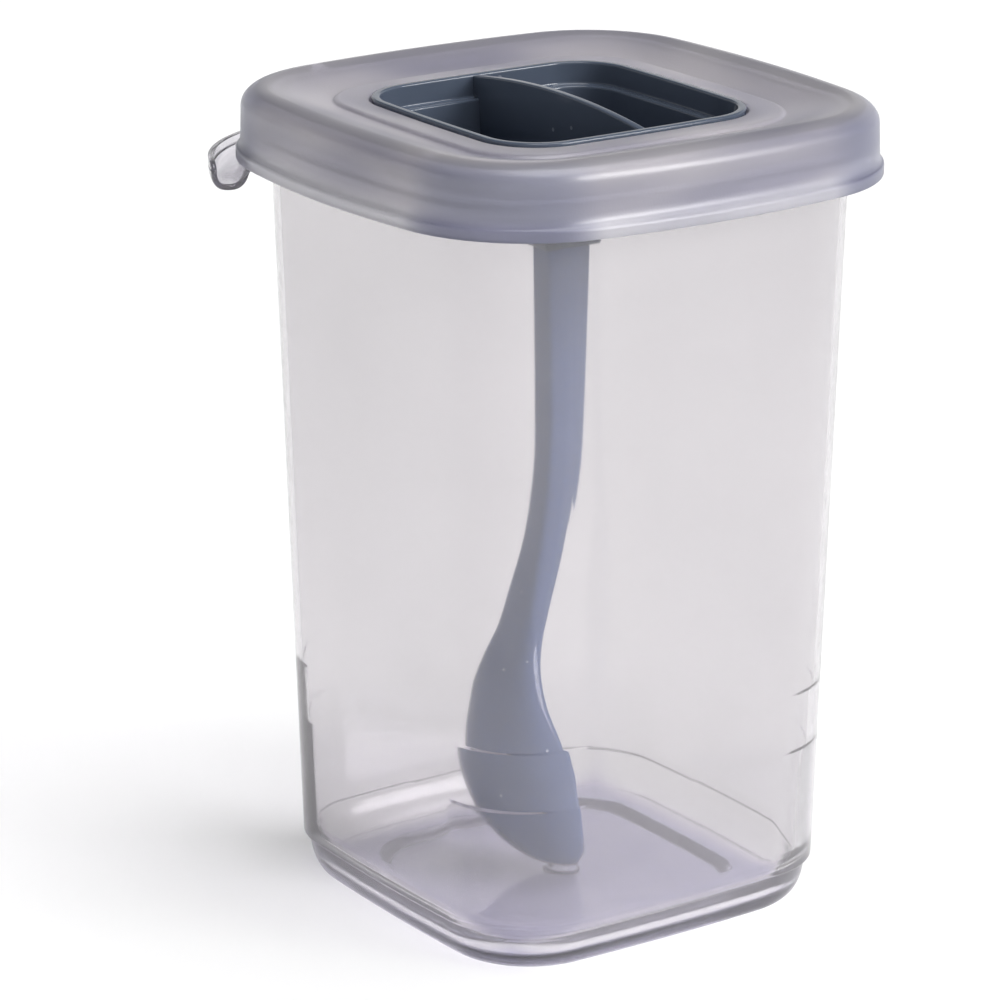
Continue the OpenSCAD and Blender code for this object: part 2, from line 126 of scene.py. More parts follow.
def makeLoftTree():
    # a stack of rounded squares with bulging sides, one for each point of the profile
    tree = bpy.data.node_groups.new("squareLoft", "GeometryNodeTree")
    face = tree.interface
    face.new_socket("Profile", in_out="INPUT", socket_type="NodeSocketGeometry")
    for name, value in (("Corner Segments", 24), ("Side Segments", 12)):
        face.new_socket(name, in_out="INPUT", socket_type="NodeSocketInt").default_value = value
    face.new_socket("Finish", in_out="INPUT", socket_type="NodeSocketMaterial")
    face.new_socket("Shell", in_out="OUTPUT", socket_type="NodeSocketGeometry")
    given = tree.nodes.new("NodeGroupInput").outputs
    corner, side = given["Corner Segments"], given["Side Segments"]

    def calc(operation, *values):
        return mathNode(tree, operation, *values)

    size = newNode(tree, "GeometryNodeAttributeDomainSize", Geometry=given["Profile"])
    rings = size.outputs["Point Count"]
    run = calc("ADD", corner, side)
    across = calc("ADD", calc("MULTIPLY", run, 4.0), 1.0)
    grid = newNode(tree, "GeometryNodeMeshGrid", Vertices_X=across, Vertices_Y=rings)

    # each point of the grid reads its ring's sizes from the profile
    index = tree.nodes.new("GeometryNodeInputIndex").outputs[0]
    ring = calc("MODULO", index, rings)
    column = calc("FLOOR", calc("DIVIDE", index, rings))
    place = tree.nodes.new("GeometryNodeInputPosition").outputs[0]
    bulge = tree.nodes.new("GeometryNodeInputNamedAttribute")
    bulge.data_type = "FLOAT"
    bulge.inputs["Name"].default_value = "bulge"
    read = []
    for kind, value in (("FLOAT_VECTOR", place), ("FLOAT", bulge.outputs["Attribute"])):
        sample = tree.nodes.new("GeometryNodeSampleIndex")
        sample.data_type = kind
        wire(tree, given["Profile"], sample.inputs["Geometry"])
        wire(tree, value, sample.inputs["Value"])
        wire(tree, ring, sample.inputs["Index"])
        read.append(sample.outputs[0])
    half, radius, height = newNode(tree, "ShaderNodeSeparateXYZ", Vector=read[0]).outputs
    bow = read[1]

    # centre of the corner arcs, and the angle where they meet the bulging sides
    offset = calc("SUBTRACT", half, bow)
    reach = calc("SUBTRACT", bow, radius)
    inner = calc("MULTIPLY", calc("MULTIPLY", reach, reach), 2.0)
    root = calc("SQRT", calc("SUBTRACT", inner, calc("MULTIPLY", offset, offset)))
    centre = calc("MULTIPLY", calc("ADD", offset, root), 0.5)
    turn = calc("ARCTAN2", centre, calc("SUBTRACT", centre, offset))

    # a quarter turn is one corner arc and then one side
    quarterNumber = calc("FLOOR", calc("DIVIDE", column, run))
    local = calc("SUBTRACT", column, calc("MULTIPLY", quarterNumber, run))
    twice = calc("MULTIPLY", turn, 2.0)
    cornerShare = calc("DIVIDE", local, corner)
    cornerAngle = calc("SUBTRACT", calc("SUBTRACT", math.pi / 2, turn),
                       calc("MULTIPLY", calc("SUBTRACT", math.pi / 2, twice), cornerShare))
    sideShare = calc("DIVIDE", calc("SUBTRACT", local, corner), side)
    sideAngle = calc("SUBTRACT", turn, calc("MULTIPLY", twice, sideShare))
    onSide = calc("GREATER_THAN", local, calc("ADD", corner, 0.5))
    flat = []
    for wave, base in (("SINE", 0.0), ("COSINE", offset)):
        arc = calc("ADD", centre, calc("MULTIPLY", radius, calc(wave, cornerAngle)))
        long = calc("ADD", base, calc("MULTIPLY", bow, calc(wave, sideAngle)))
        flat.append(calc("ADD", arc, calc("MULTIPLY", calc("SUBTRACT", long, arc), onSide)))
    spot = newNode(tree, "ShaderNodeCombineXYZ", X=flat[0], Y=flat[1], Z=height)
    spin = newNode(tree, "ShaderNodeVectorRotate", Vector=spot.outputs[0],
                   Angle=calc("MULTIPLY", quarterNumber, math.pi / 2))
    moved = newNode(tree, "GeometryNodeSetPosition", Geometry=grid.outputs["Mesh"], Position=spin.outputs[0])
    closed = newNode(tree, "GeometryNodeMergeByDistance", Geometry=moved.outputs[0], Distance=weld)
    smooth = newNode(tree, "GeometryNodeSetShadeSmooth", Geometry=closed.outputs[0])
    real = newNode(tree, "GeometryNodeRealizeInstances", Geometry=smooth.outputs[0])
    done = newNode(tree, "GeometryNodeSetMaterial", Geometry=real.outputs[0], Material=given["Finish"])
    result = tree.nodes.new("NodeGroupOutput")
    wire(tree, done.outputs[0], result.inputs["Shell"])
    return tree


loftTree = makeLoftTree()


def closeAndTurnOut(mesh):
    work = bmesh.new()
    work.from_mesh(mesh)
    bmesh.ops.remove_doubles(work, verts=work.verts, dist=weld)
    bmesh.ops.dissolve_degenerate(work, dist=1e-7, edges=work.edges)
    bmesh.ops.recalc_face_normals(work, faces=work.faces)
    if work.calc_volume(signed=True) < 0:
        bmesh.ops.reverse_faces(work, faces=work.faces)
    for face in work.faces:
        face.smooth = True
    openEdges = sum(1 for e in work.edges if not e.is_manifold)
    print("  ", mesh.name, len(work.faces), "faces,", openEdges, "open edges,",
          round(work.calc_volume() * 1e9), "mm3")
    work.to_mesh(mesh)
    work.free()
    mesh.update()


def addPiece(name, mesh, material, body):
    closeAndTurnOut(mesh)
    piece = bpy.data.objects.new(name, mesh)
    scene.collection.objects.link(piece)
    if not mesh.materials:
        mesh.materials.append(material)
    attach(piece, body)
    return piece


def loftPiece(name, profile, material, body):
    seed = bpy.data.meshes.new(name + "Profile")
    seed.from_pydata([(p[0] * mm, p[2] * mm, p[1] * mm) for p in profile],
                     [(i, i + 1) for i in range(len(profile) - 1)], [])
    bulge = seed.attributes.new("bulge", "FLOAT", "POINT")
    bulge.data.foreach_set("value", [p[3] * mm for p in profile])
    carrier = bpy.data.objects.new(name + "Carrier", seed)
    scene.collection.objects.link(carrier)
    modifier = carrier.modifiers.new("loft", "NODES")
    modifier.node_group = loftTree
    values = {"Corner Segments": 24, "Side Segments": 12, "Finish": material}
    for item in loftTree.interface.items_tree:
        if item.name in values:
            modifier[item.identifier] = values[item.name]
    shown = carrier.evaluated_get(bpy.context.evaluated_depsgraph_get())
    mesh = bpy.data.meshes.new_from_object(shown)
    mesh.name = name
    carrier.modifiers.clear()
    bpy.data.objects.remove(carrier)
    bpy.data.meshes.remove(seed)
    return addPiece(name, mesh, material, body)


def sectionPiece(name, sections, material, body, capped=True):
    # closed tube through sections of equal length, points in millimetres
    count, length = len(sections), len(sections[0])
    points = [tuple(v * mm for v in p) for section in sections for p in section]
    faces = [(i * length + j, i * length + (j + 1) % length,
              (i + 1) * length + (j + 1) % length, (i + 1) * length + j)
             for i in range(count - 1) for j in range(length)]
    if capped:
        faces.append(tuple(range(length - 1, -1, -1)))
        faces.append(tuple((count - 1) * length + j for j in range(length)))
    mesh = bpy.data.meshes.new(name)
    mesh.from_pydata(points, [], faces)
    return addPiece(name, mesh, material, body)


def newMaterial(name):
    material = bpy.data.materials.new(name)
    material.use_nodes = True
    tree = material.node_tree
    tree.nodes.clear()
    return material, tree, tree.nodes.new("ShaderNodeOutputMaterial")


def remap(tree, value, before, after, curve="SMOOTHSTEP"):
    node = newNode(tree, "ShaderNodeMapRange", Value=value)
    node.interpolation_type = curve
    for name, number in zip(("From Min", "From Max", "To Min", "To Max"), (*before, *after)):
        node.inputs[name].default_value = number
    return node.outputs[0]


def spread(tree, noise, low, high):
    return remap(tree, noise, (0.25, 0.75), (low, high))


def fadeOut(tree, value, limits):
    # 1 below the first limit, 0 above the second
    return remap(tree, value, limits, (1.0, 0.0), "LINEAR")


def twoTone(tree, share, first, second):
    # each tone is a colour, or the socket of one
    node = tree.nodes.new("ShaderNodeMix")
    node.data_type = "RGBA"
    wire(tree, share, node.inputs["Factor"])
    for name, tone in (("A", first), ("B", second)):
        wire(tree, tone if isinstance(tone, bpy.types.NodeSocket) else (*tone, 1), node.inputs[name])
    return node.outputs["Result"]


def splitPlace(tree):
    place = tree.nodes.new("ShaderNodeTexCoord").outputs["Object"]
    return newNode(tree, "ShaderNodeSeparateXYZ", Vector=place).outputs


def placeGroup(tree, group, **values):
    node = tree.nodes.new("ShaderNodeGroup")
    node.node_tree = group
    for name, value in values.items():
        node.inputs[name.replace("_", " ")].default_value = value
    return node.outputs


def startGroup(name, numbers, results):
    # numbers are the named inputs with their usual values
    tree = bpy.data.node_groups.new(name, "ShaderNodeTree")
    for label, value in numbers.items():
        socket = tree.interface.new_socket(label, in_out="INPUT", socket_type="NodeSocketFloat")
        socket.default_value = value
    for label in results:
        tree.interface.new_socket(label, in_out="OUTPUT", socket_type="NodeSocketFloat")
    return tree, tree.nodes.new("NodeGroupInput").outputs, tree.nodes.new("NodeGroupOutput").inputs


def makeMouldGrain():
    # soft flow marks and fine grain of a moulded plastic
    tree, given, results = startGroup(
        "mouldGrain", {"Flow Scale": 30.0, "Grain Scale": 1500.0, "Flow": 0.5}, ("Height", "Cloud"))
    place = tree.nodes.new("ShaderNodeTexCoord").outputs["Object"]
    flow = newNode(tree, "ShaderNodeTexNoise", Vector=place, Scale=given["Flow Scale"], Detail=3.0)
    grain = newNode(tree, "ShaderNodeTexNoise", Vector=place, Scale=given["Grain Scale"], Detail=1.0)
    fine = mathNode(tree, "MULTIPLY", grain.outputs["Fac"], mathNode(tree, "SUBTRACT", 1.0, given["Flow"]))
    coarse = mathNode(tree, "MULTIPLY", flow.outputs["Fac"], given["Flow"])
    wire(tree, mathNode(tree, "ADD", coarse, fine), results["Height"])
    wire(tree, flow.outputs["Fac"], results["Cloud"])
    return tree


# ranges of the mask for the painted shade at the lid's skirt corners
lidCornerShade = {
    "cornerRange": (0.39, 0.48),  # of xy over the squared radius, which is 0.5 on the diagonal
    "skirtRange": (0.055, 0.0605),  # distance from the axis, in metres
}


def makeRingStreaks():
    # long soft streaks that run round the lid as the melt flowed, and a mask of its outer skirt corners,
    # which get painted shade
    tree, given, results = startGroup(
        "ringStreaks", {"Ring Scale": 90.0, "Round Scale": 1.2}, ("Streak", "Corner"))
    x, y, z = splitPlace(tree)
    squares = [mathNode(tree, "MULTIPLY", v, v) for v in (x, y)]
    both = mathNode(tree, "ADD", *squares)
    fourth = mathNode(tree, "ADD", *[mathNode(tree, "MULTIPLY", v, v) for v in squares])
    reach = mathNode(tree, "POWER", fourth, 0.25)
    ring = mathNode(tree, "SUBTRACT", reach, z)
    radius = mathNode(tree, "SQRT", both)
    across = [mathNode(tree, "MULTIPLY", mathNode(tree, "DIVIDE", v, radius), given["Round Scale"])
              for v in (x, y)]
    spot = newNode(tree, "ShaderNodeCombineXYZ", X=across[0], Y=across[1],
                   Z=mathNode(tree, "MULTIPLY", ring, given["Ring Scale"]))
    noise = newNode(tree, "ShaderNodeTexNoise", Vector=spot.outputs[0], Scale=1.0, Detail=1.0)
    product = mathNode(tree, "ABSOLUTE", mathNode(tree, "MULTIPLY", x, y))
    # the skirt corners that get painted shade
    corner = remap(tree, mathNode(tree, "DIVIDE", product, both), lidCornerShade["cornerRange"], (0.0, 1.0))
    skirt = remap(tree, reach, lidCornerShade["skirtRange"], (0.0, 1.0))
    wire(tree, noise.outputs["Fac"], results["Streak"])
    wire(tree, mathNode(tree, "MULTIPLY", corner, skirt), results["Corner"])
    return tree


def makeDustSpecks():
    # sparse pale specks, of mixed sizes
    tree, given, results = startGroup("dustSpecks", {"Cells": 240.0, "Size": 0.12}, ("Speck",))
    place = tree.nodes.new("ShaderNodeTexCoord").outputs["Object"]
    cells = newNode(tree, "ShaderNodeTexVoronoi", Vector=place, Scale=given["Cells"])
    chance = newNode(tree, "ShaderNodeSeparateColor", Color=cells.outputs["Color"]).outputs[0]
    size = mathNode(tree, "MULTIPLY", mathNode(tree, "POWER", chance, 3.0), given["Size"])
    wire(tree, mathNode(tree, "LESS_THAN", cells.outputs["Distance"], size), results["Speck"])
    return tree


mouldGrain = makeMouldGrain()
ringStreaks = makeRingStreaks()
dustSpecks = makeDustSpecks()

plasticIor = 1.49


def bumpFrom(tree, height, values):
    strength, depth = values["bump"]
    return newNode(tree, "ShaderNodeBump", Height=height, Strength=strength, Distance=depth).outputs[0]


def addDepth(tree, output, values):
    depth = newNode(tree, "ShaderNodeVolumeAbsorption", Color=(*values["depthTint"], 1),
                    Density=values["depthDensity"])
    wire(tree, depth.outputs[0], output.inputs["Volume"])


def mixShaders(tree, share, first, second):
    node = tree.nodes.new("ShaderNodeMixShader")
    for value, socket in zip((share, first, second), node.inputs):
        wire(tree, value, socket)
    return node.outputs[0]


# in the materials, baseTop, lipTop, panelReach and the second number of bump are in metres
clearPlastic = {
    "tones": ((0.842, 0.825, 0.835), (0.812, 0.797, 0.807)),
    # the panel tones darken the floor panel: partly for its thicker plastic, partly as painted shade under
    # the lid
    "panelTintAndShade": ((0.60, 0.585, 0.675), (0.44, 0.425, 0.56)),
    "baseTop": (0.004, 0.012), "panelReach": (0.036, 0.042),
    "rough": (0.03, 0.07), "footRough": 0.16,
    "flowScale": 16.0, "panelFlowScale": 70.0, "bump": (0.12, 0.0006),
    "clearShare": 0.925, "shadowTint": (0.905, 0.90, 0.91),
    "depthTint": (0.16, 0.12, 0.44), "depthDensity": 10.0,
}


def makeClearPlastic(name, values):
    material, tree, output = newMaterial(name)
    grain = placeGroup(tree, mouldGrain, Flow_Scale=values["flowScale"], Flow=1.0)
    panelCloud = placeGroup(tree, mouldGrain, Flow_Scale=values["panelFlowScale"])["Cloud"]
    x, y, z = splitPlace(tree)
    reach = mathNode(tree, "MAXIMUM", mathNode(tree, "ABSOLUTE", x), mathNode(tree, "ABSOLUTE", y))
    base = fadeOut(tree, z, values["baseTop"])
    panel = mathNode(tree, "MULTIPLY", base, fadeOut(tree, reach, values["panelReach"]))
    foot = mathNode(tree, "SUBTRACT", base, panel)
    # the floor panel gets its own darker tone: partly its thicker plastic, partly painted shade under the lid
    tone = twoTone(tree, panel, twoTone(tree, spread(tree, grain["Cloud"], 0.0, 1.0), *values["tones"]),
                   twoTone(tree, panelCloud, *values["panelTintAndShade"]))
    rough = mathNode(tree, "ADD", spread(tree, grain["Cloud"], *values["rough"]),
                     mathNode(tree, "MULTIPLY", foot, values["footRough"]))
    shader = newNode(tree, "ShaderNodeBsdfPrincipled", Base_Color=tone, Roughness=rough, IOR=plasticIor,
                     Transmission_Weight=values["clearShare"], Normal=bumpFrom(tree, grain["Height"], values))
    # the lamps shine straight through, so that what hangs inside is lit and the shadow is pale
    through = newNode(tree, "ShaderNodeBsdfTransparent", Color=(*values["shadowTint"], 1))
    path = tree.nodes.new("ShaderNodeLightPath")
    mixed = mixShaders(tree, path.outputs["Is Shadow Ray"], shader.outputs[0], through.outputs[0])
    wire(tree, mixed, output.inputs["Surface"])
    addDepth(tree, output, values)
    return material


frostedPlastic = {
    "tones": ((0.765, 0.735, 0.775), (0.455, 0.445, 0.54)),
    # painted light: the lip band's tones are lighter, for the light that comes through the thin lip
    "paintedLipLight": ((0.84, 0.83, 0.865), (0.60, 0.595, 0.67)),
    # painted shade: the skirt's corners are darker, and the lip's corners darker still, for the dark parts
    # seen through the skirt
    "paintedCornerShade": ((0.52, 0.525, 0.63), (0.35, 0.355, 0.47)),
    "paintedLipCornerShade": ((0.34, 0.345, 0.46), (0.24, 0.245, 0.35)),
    "lipTop": (0.1740, 0.1768),
    "rough": (0.285, 0.35), "grainScale": 1800.0, "bump": (0.12, 0.0002),
    "clearShare": 0.58, "depthTint": (0.22, 0.21, 0.40), "depthDensity": 8.0,
}
tabPlastic = {
    "tones": ((0.90, 0.885, 0.915), (0.80, 0.78, 0.83)),
    "rough": (0.06, 0.12), "grainScale": 1800.0, "bump": (0.12, 0.0002),
    "clearShare": 0.88, "depthTint": (0.14, 0.10, 0.30), "depthDensity": 60.0,
}


def makeFrostedPlastic(name, values):
    material, tree, output = newMaterial(name)
    grain = placeGroup(tree, mouldGrain, Grain_Scale=values["grainScale"], Flow=0.0)
    streak, corner = placeGroup(tree, ringStreaks)
    cloud = spread(tree, streak, 0.0, 1.0)
    tone = twoTone(tree, cloud, *values["tones"])
    if "lipTop" in values:
        # painted light: the lip band below lipTop is painted lighter
        lip = fadeOut(tree, splitPlace(tree)["Z"], values["lipTop"])
        # painted shade: the skirt's corners, and the lip's corners more, are painted darker for the dark
        # parts seen through
        shadedLipCornerMask = mathNode(tree, "MULTIPLY", lip, corner)
        for mask, part in ((lip, "paintedLipLight"), (corner, "paintedCornerShade"), (shadedLipCornerMask, "paintedLipCornerShade")):
            tone = twoTone(tree, mask, tone, twoTone(tree, cloud, *values[part]))
    shader = newNode(tree, "ShaderNodeBsdfPrincipled", Base_Color=tone, IOR=plasticIor,
                     Roughness=spread(tree, streak, *values["rough"]),
                     Transmission_Weight=values["clearShare"], Normal=bumpFrom(tree, grain["Height"], values))
    wire(tree, shader.outputs[0], output.inputs["Surface"])
    addDepth(tree, output, values)
    return material


plugPlastic = {
    "tones": ((0.087, 0.107, 0.148), (0.077, 0.096, 0.134)), "dustTint": (0.5, 0.52, 0.58),
    "rough": (0.07, 0.12), "flowScale": 40.0, "dustCells": 160.0, "dustShare": 0.3, "bump": (0.1, 0.0002),
}
scoopPlastic = {
    "tones": ((0.072, 0.106, 0.23), (0.062, 0.093, 0.205)), "dustTint": (0.5, 0.52, 0.58),
    "rough": (0.09, 0.15), "flowScale": 60.0, "dustCells": 300.0, "dustShare": 0.8, "bump": (0.1, 0.0002),
}


def makeSolidPlastic(name, values):
    material, tree, output = newMaterial(name)
    grain = placeGroup(tree, mouldGrain, Flow_Scale=values["flowScale"], Flow=0.9)
    speck = placeGroup(tree, dustSpecks, Cells=values["dustCells"])["Speck"]
    dust = mathNode(tree, "MULTIPLY", speck, values["dustShare"])
    plain = twoTone(tree, spread(tree, grain["Cloud"], 0.0, 1.0), *values["tones"])
    shader = newNode(tree, "ShaderNodeBsdfPrincipled", IOR=plasticIor,
                     Base_Color=twoTone(tree, dust, plain, values["dustTint"]),
                     Roughness=spread(tree, grain["Cloud"], *values["rough"]),
                     Normal=bumpFrom(tree, grain["Height"], values))
    wire(tree, shader.outputs[0], output.inputs["Surface"])
    return material


clearFinish = makeClearPlastic("clearPlastic", clearPlastic)
frostedFinish = makeFrostedPlastic("frostedPlastic", frostedPlastic)
tabFinish = makeFrostedPlastic("tabPlastic", tabPlastic)
plugFinish = makeSolidPlastic("plugPlastic", plugPlastic)
scoopFinish = makeSolidPlastic("scoopPlastic", scoopPlastic)
print("materials:", len(bpy.data.materials))


# sizes of the pieces are in millimetres
tub = {
    "height": 185.4, "mouthWidth": 106.6, "footWidth": 98.2, "baseWidth": 87.4,
    "footHeight": 9.7, "footStep": 1.2, "coveRise": 6.0, "coveWidth": 7.0,
    "wall": 1.5, "floor": 1.6, "panelWidth": 63.0, "panelSlope": 2.6, "panelStep": 1.3,
    "baseHollow": 0.4, "cornerRadius": 21.0, "footCornerRadius": 21.0, "baseCornerRadius": 19.5,
    "sideBulge": 560.0, "cornerLines": (53.0, 39.0), "cornerStep": 1.2, "lineHeight": 0.5,
    "rimReach": 5.3, "rim": 1.6, "rimDrop": 5.0, "rimFillet": 2.2, "rimFilletTurn": 60.0, "rimRound": 1.1,
    "gateRadius": 4.4, "gateRise": 0.5, "fillet": 0.35,
}
lid = {
    "thickness": 2.0, "skirt": 1.4, "skirtGap": 1.3, "skirtHeight": 16.0, "lipHeight": 2.6,
    "lipFlare": 2.2, "flareHeight": 2.6, "shoulderWidth": 6.2, "shoulderHeight": 4.6,
    "dishDrop": 3.3, "dishEase": 0.25, "cornerExtra": 8.0, "lipGrowth": 2.5, "bulge": 220.0,
    "seal": 1.3, "sealGap": 0.45, "sealHeight": 6.0, "beadReach": 0.8, "beadSlope": 0.8,
    "openingWidth": 69.2, "openingCorner": 14.5, "openingBulge": 620.0,
    "bandWidth": 7.0, "bandHeight": 0.75, "bandCorner": 17.5, "bandBulge": 520.0,
    "ledgeDepth": 6.45, "ledgeWidth": 2.4, "ledge": 1.6,
}
edge = 0.4  # a small chamfer, and the step between two close rings
arcSteps, smallArcSteps = 14, 6

mouthHalf, footHalf, baseHalf = tub["mouthWidth"] / 2, tub["footWidth"] / 2, tub["baseWidth"] / 2
panelHalf = tub["panelWidth"] / 2
rimHalf = mouthHalf + tub["rimReach"]
rimInner = rimHalf - tub["rim"]
panelZ = tub["baseHollow"] + tub["floor"]
floorZ = panelZ + tub["panelStep"]
skirtInner = rimHalf + lid["skirtGap"]
skirtHalf = skirtInner + lid["skirt"]
lipHalf = skirtHalf + lid["lipFlare"]
skirtR = tub["cornerRadius"] + lid["cornerExtra"]
lipR = skirtR + lid["lipGrowth"] * lid["lipFlare"]
crestHalf = skirtHalf - lid["shoulderWidth"]
crestZ = tub["height"] + lid["thickness"]
lipZ = crestZ - lid["skirtHeight"]
grooveZ = crestZ - lid["dishDrop"]
bandZ = grooveZ + lid["bandHeight"]
openingHalf = lid["openingWidth"] / 2
bandHalf = openingHalf + lid["bandWidth"]
ledgeHalf = openingHalf - lid["ledgeWidth"]
ledgeZ = bandZ - lid["ledgeDepth"]
collarHalf = openingHalf + lid["ledge"]
plateZ = grooveZ - lid["thickness"]


def wallRing(inset, z, thicken=0.0):
    ends = (tub["footHeight"], tub["height"])
    half = lookUp(z, [(ends[0], footHalf), (ends[1], mouthHalf)])
    radius = lookUp(z, [(ends[0], tub["footCornerRadius"]), (ends[1], tub["cornerRadius"])])
    return (half - inset, z, radius - inset + thicken, tub["sideBulge"])


def floorRing(half, z):
    return (half, z, tub["baseCornerRadius"] * half / baseHalf, tub["sideBulge"])


def gateRing(half, z):
    return (half, z, half, tub["sideBulge"])


def footRing(half, z):
    radius = lookUp(z, [(0, tub["baseCornerRadius"]), (tub["footHeight"], tub["footCornerRadius"])])
    return (half, z, radius, tub["sideBulge"])


def coveRing(half, z):
    return (half, z, tub["footCornerRadius"] + 2 * tub["cornerStep"] + half - footHalf, tub["sideBulge"])


def lidRing(half, z):
    radius = lookUp(half, [(openingHalf, lid["openingCorner"]), (bandHalf, lid["bandCorner"]),
                           (skirtHalf, skirtR), (lipHalf, lipR)])
    bulge = lookUp(half, [(openingHalf, lid["openingBulge"]), (bandHalf, lid["bandBulge"]),
                          (lipHalf, lid["bulge"])])
    return (half, z, radius, bulge)


def openingRing(half, z):
    return (half, z, lid["openingCorner"] + half - openingHalf, lid["openingBulge"])


def tubProfile():
    # from the middle of the underside, up the outside, over the rim and down to the middle of the floor
    under = tub["height"] - tub["rim"]
    thick, foot, top = tub["wall"], tub["footHeight"], tub["height"]
    points = [floorRing(0.0, tub["baseHollow"]), floorRing(panelHalf, tub["baseHollow"]),
              floorRing(panelHalf + tub["panelSlope"], 0.0)]
    points += [footRing(*p) for p in quarter(footHalf - tub["footStep"], foot, baseHalf, 0.0, arcSteps)[::-1]]
    points += [wallRing(edge / 2, foot), wallRing(0.0, foot + edge / 2)]
    for i in range(smallArcSteps + 1):
        a = math.radians(tub["rimFilletTurn"] * i / smallArcSteps)
        points.append(wallRing(-tub["rimFillet"] * (1 - math.cos(a)),
                               under - tub["rimFillet"] * (1 - math.sin(a))))
    points += [lidRing(*p) for p in (
        (rimInner, under), (rimInner, top - tub["rimDrop"]), (rimHalf, top - tub["rimDrop"]))]
    points += [lidRing(*p) for p in quarter(rimHalf, top - tub["rimRound"], rimHalf - tub["rimRound"], top,
                                            smallArcSteps)]
    points += [wallRing(thick - 2 * edge, top), wallRing(thick, top - 2 * edge)]
    for step, line in enumerate(tub["cornerLines"]):
        points += [wallRing(thick, line + tub["lineHeight"] / 2, step * tub["cornerStep"]),
                   wallRing(thick, line - tub["lineHeight"] / 2, (step + 1) * tub["cornerStep"])]
    points += [coveRing(*p) for p in quarter(footHalf - thick, foot + tub["coveRise"],
                                             footHalf - thick - tub["coveWidth"], floorZ, arcSteps)]
    points += [floorRing(panelHalf + tub["panelSlope"], floorZ), floorRing(panelHalf, panelZ)]
    gate, ridge = tub["gateRadius"], panelZ + tub["gateRise"]
    points += [gateRing(gate - inset * edge, z) for inset, z in (
        (0.0, panelZ), (1.0, ridge), (2.5, ridge), (3.5, panelZ))]
    points.append(gateRing(0.0, panelZ))
    return softenProfile(points, tub["fillet"])


tubShell = loftPiece("tubShell", tubProfile(), clearFinish, "container")
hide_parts("container_body")
print("tub built")


def lidProfile():
    # up the outside from the lip, across the dish to the opening, and back along the underside
    top, seal = tub["height"], tub["wall"] + lid["sealGap"]
    sealZ = top - lid["sealHeight"]
    skirtZ = lipZ + lid["lipHeight"]
    dishWidth = crestHalf - bandHalf
    beadTop = top - tub["rimDrop"] - edge
    beadHalf = skirtInner - lid["beadReach"]
    flareSteps, dishSteps = 8, 12
    points = [lidRing(lipHalf, lipZ), lidRing(lipHalf, skirtZ - edge)]
    for i in range(flareSteps + 1):
        a = math.pi / 2 * i / flareSteps
        points.append(lidRing(lipHalf - edge - (lid["lipFlare"] - edge) * math.sin(a),
                              skirtZ + lid["flareHeight"] * (1 - math.cos(a))))
    points += [lidRing(*p) for p in quarter(skirtHalf - edge / 2, crestZ - lid["shoulderHeight"],
                                            crestHalf, crestZ, arcSteps)]
    for i in range(1, dishSteps + 1):
        t = i / dishSteps
        ease = lid["dishEase"] * ((1 - math.cos(math.pi * t)) / 2 - t)
        points.append(lidRing(crestHalf - dishWidth * t, crestZ - lid["dishDrop"] * (t + ease)))
    points += [lidRing(*p) for p in (
        (bandHalf - 0.6 * lid["bandHeight"], bandZ - edge / 2),
        (bandHalf - 1.4 * lid["bandHeight"], bandZ),
        (openingHalf + edge, bandZ))]
    points += [openingRing(*p) for p in (
        (openingHalf, bandZ - edge), (openingHalf, ledgeZ), (ledgeHalf, ledgeZ),
        (ledgeHalf, ledgeZ - lid["ledge"]), (collarHalf, ledgeZ - lid["ledge"]), (collarHalf, plateZ))]
    points += [lidRing(bandHalf, plateZ),
               lidRing(bandHalf + 0.4 * dishWidth, plateZ + 0.25 * lid["dishDrop"])]
    points += [wallRing(*p) for p in (
        (seal + lid["seal"], top - edge), (seal + lid["seal"], sealZ), (seal + edge, sealZ),
        (seal, sealZ + 2 * edge), (seal, top))]
    points += [lidRing(*p) for p in (
        (skirtInner - tub["rimRound"], top), (skirtInner, top - tub["rimRound"]), (skirtInner, beadTop),
        (beadHalf, beadTop - lid["beadSlope"]), (beadHalf, beadTop - lid["beadSlope"] - edge),
        (skirtInner, beadTop - 2 * lid["beadSlope"] - edge), (skirtInner, lipZ))]
    return softenProfile(points, tub["fillet"], closed=True)


lidShell = loftPiece("lidShell", lidProfile(), frostedFinish, "lid")
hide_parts("snap_lid")
print("lid built")


pullTab = {"width": 30.0, "spread": 5.0, "reach": 6.2, "thickness": 1.3, "drop": 6.0,
           "rise": 0.4, "cornerRadius": 2.4, "bendShare": 0.65, "bendPower": 2.6}


def halfOutline(width, depth, power, steps):
    # half of a squared oval: a higher power is squarer
    points = []
    for i in range(steps + 1):
        a = math.pi * i / steps
        c, s = math.cos(a), max(math.sin(a), 0.0)
        points.append((math.copysign(width * abs(c) ** (2 / power), c), depth * s ** (2 / power)))
    return points


